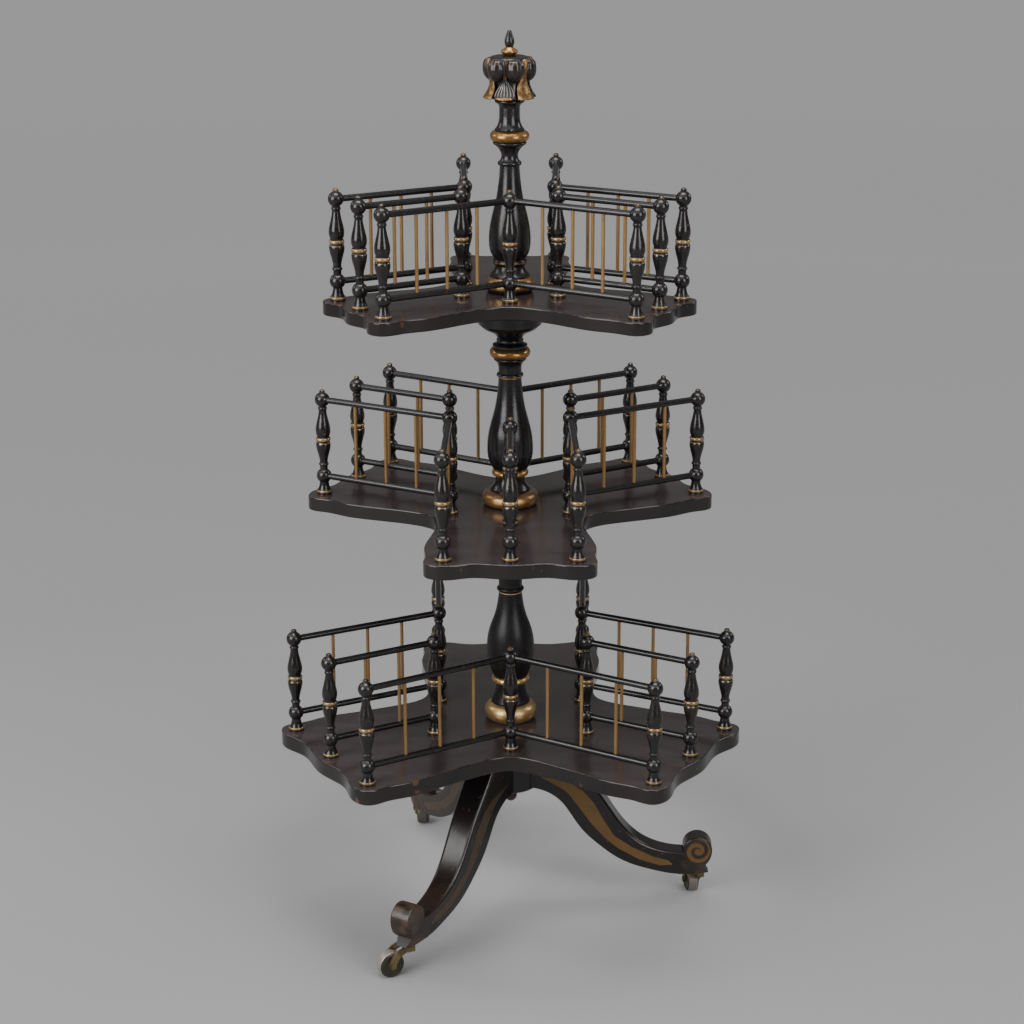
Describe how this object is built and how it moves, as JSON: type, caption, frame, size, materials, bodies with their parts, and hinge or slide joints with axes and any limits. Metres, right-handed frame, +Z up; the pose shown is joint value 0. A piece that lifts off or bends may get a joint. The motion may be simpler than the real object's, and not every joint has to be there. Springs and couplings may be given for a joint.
{
  "type": "revolving bookcase",
  "caption": "Tall ebonised revolving bookcase: graduated three-armed shelves with turned galleries, each turning on a central column above a scroll-legged tripod on casters.",
  "frame": {"origin": "on the floor under the turning axis of the shelves", "axes": "+Z up along the turning axis; +X to the right, close to one leg; -Y is the front"},
  "size_m": [0.7458, 0.6675, 1.4435],
  "materials": {
    "ebonised_wood": "satin black lacquer, worn to brown at the arrises",
    "gilt_wood": "old gilding over turned wood",
    "worn_wood": "red-brown wood under worn black",
    "brass": "dull, olive-brown with age",
    "iron": "turned, dark",
    "wheel_brass": "turned brass, grey-brown with age, brighter on the tread"
  },
  "bodies": {
    "tripod": {"tripod_hub": "ebonised_wood", "hub_drop": "worn_wood", "iron_pivot": "iron", "caster_screws": "brass", "right_leg": "ebonised_wood", "back_leg": "ebonised_wood", "front_leg": "ebonised_wood", "right_caster_plate": "brass", "back_caster_plate": "brass", "front_caster_plate": "brass", "bottom_washer": "brass", "middle_washer": "brass", "top_washer": "brass"},
    "bottom_tier": {"bottom_shelf": "ebonised_wood", "bottom_base_ring": "gilt_wood", "bottom_column": "ebonised_wood", "bottom_bush": "brass", "bottom_corner_posts": "ebonised_wood", "bottom_end_posts": "ebonised_wood", "bottom_inner_posts": "ebonised_wood", "bottom_lower_rails": "ebonised_wood", "bottom_upper_rails": "ebonised_wood", "bottom_spindles": "gilt_wood", "bottom_column_cap": "ebonised_wood"},
    "middle_tier": {"middle_shelf": "ebonised_wood", "middle_base_ring": "gilt_wood", "middle_column": "ebonised_wood", "middle_bush": "brass", "middle_corner_posts": "ebonised_wood", "middle_end_posts": "ebonised_wood", "middle_inner_posts": "ebonised_wood", "middle_lower_rails": "ebonised_wood", "middle_upper_rails": "ebonised_wood", "middle_spindles": "gilt_wood", "middle_column_cap": "ebonised_wood", "middle_collar": "ebonised_wood"},
    "top_tier": {"top_shelf": "ebonised_wood", "top_base_ring": "gilt_wood", "top_column": "ebonised_wood", "top_bush": "brass", "top_corner_posts": "ebonised_wood", "top_end_posts": "ebonised_wood", "top_inner_posts": "ebonised_wood", "top_lower_rails": "ebonised_wood", "top_upper_rails": "ebonised_wood", "top_spindles": "gilt_wood", "top_neck": "ebonised_wood", "top_collar": "ebonised_wood", "capital": "ebonised_wood", "acorn_finial": "ebonised_wood"},
    "right_caster": {"right_caster_horn": "brass", "right_caster_axle": "brass"},
    "right_wheel": {"right_caster_wheel": "wheel_brass"},
    "back_caster": {"back_caster_horn": "brass", "back_caster_axle": "brass"},
    "back_wheel": {"back_caster_wheel": "wheel_brass"},
    "front_caster": {"front_caster_horn": "brass", "front_caster_axle": "brass"},
    "front_wheel": {"front_caster_wheel": "wheel_brass"}
  },
  "joints": [
    {"name": "bottom_shelf_turn", "type": "hinge", "parent": "tripod", "child": "bottom_tier", "pos_m": [0, 0, 0.3255], "axis": [0, 0, 1], "continuous": true},
    {"name": "middle_shelf_turn", "type": "hinge", "parent": "tripod", "child": "middle_tier", "pos_m": [0, 0, 0.6935], "axis": [0, 0, 1], "continuous": true},
    {"name": "top_shelf_turn", "type": "hinge", "parent": "tripod", "child": "top_tier", "pos_m": [0, 0, 1.0405], "axis": [0, 0, 1], "continuous": true},
    {"name": "right_caster_swivel", "type": "hinge", "parent": "tripod", "child": "right_caster", "pos_m": [0.31039, -0.00813, 0.051], "axis": [0, 0, 1], "continuous": true},
    {"name": "right_wheel_roll", "type": "hinge", "parent": "right_caster", "child": "right_wheel", "pos_m": [0.30484, 0.02339, 0.021], "axis": [-0.9848, -0.1736, 0], "continuous": true},
    {"name": "back_caster_swivel", "type": "hinge", "parent": "tripod", "child": "back_caster", "pos_m": [-0.15992, 0.26615, 0.051], "axis": [0, 0, 1], "continuous": true},
    {"name": "back_wheel_roll", "type": "hinge", "parent": "back_caster", "child": "back_wheel", "pos_m": [-0.15713, 0.29803, 0.021], "axis": [-0.9962, 0.0872, 0], "continuous": true},
    {"name": "front_caster_swivel", "type": "hinge", "parent": "tripod", "child": "front_caster", "pos_m": [-0.16224, -0.26475, 0.051], "axis": [0, 0, 1], "continuous": true},
    {"name": "front_wheel_roll", "type": "hinge", "parent": "front_caster", "child": "front_wheel", "pos_m": [-0.19049, -0.27977, 0.021], "axis": [0.4695, -0.8829, 0], "continuous": true}
  ]
}
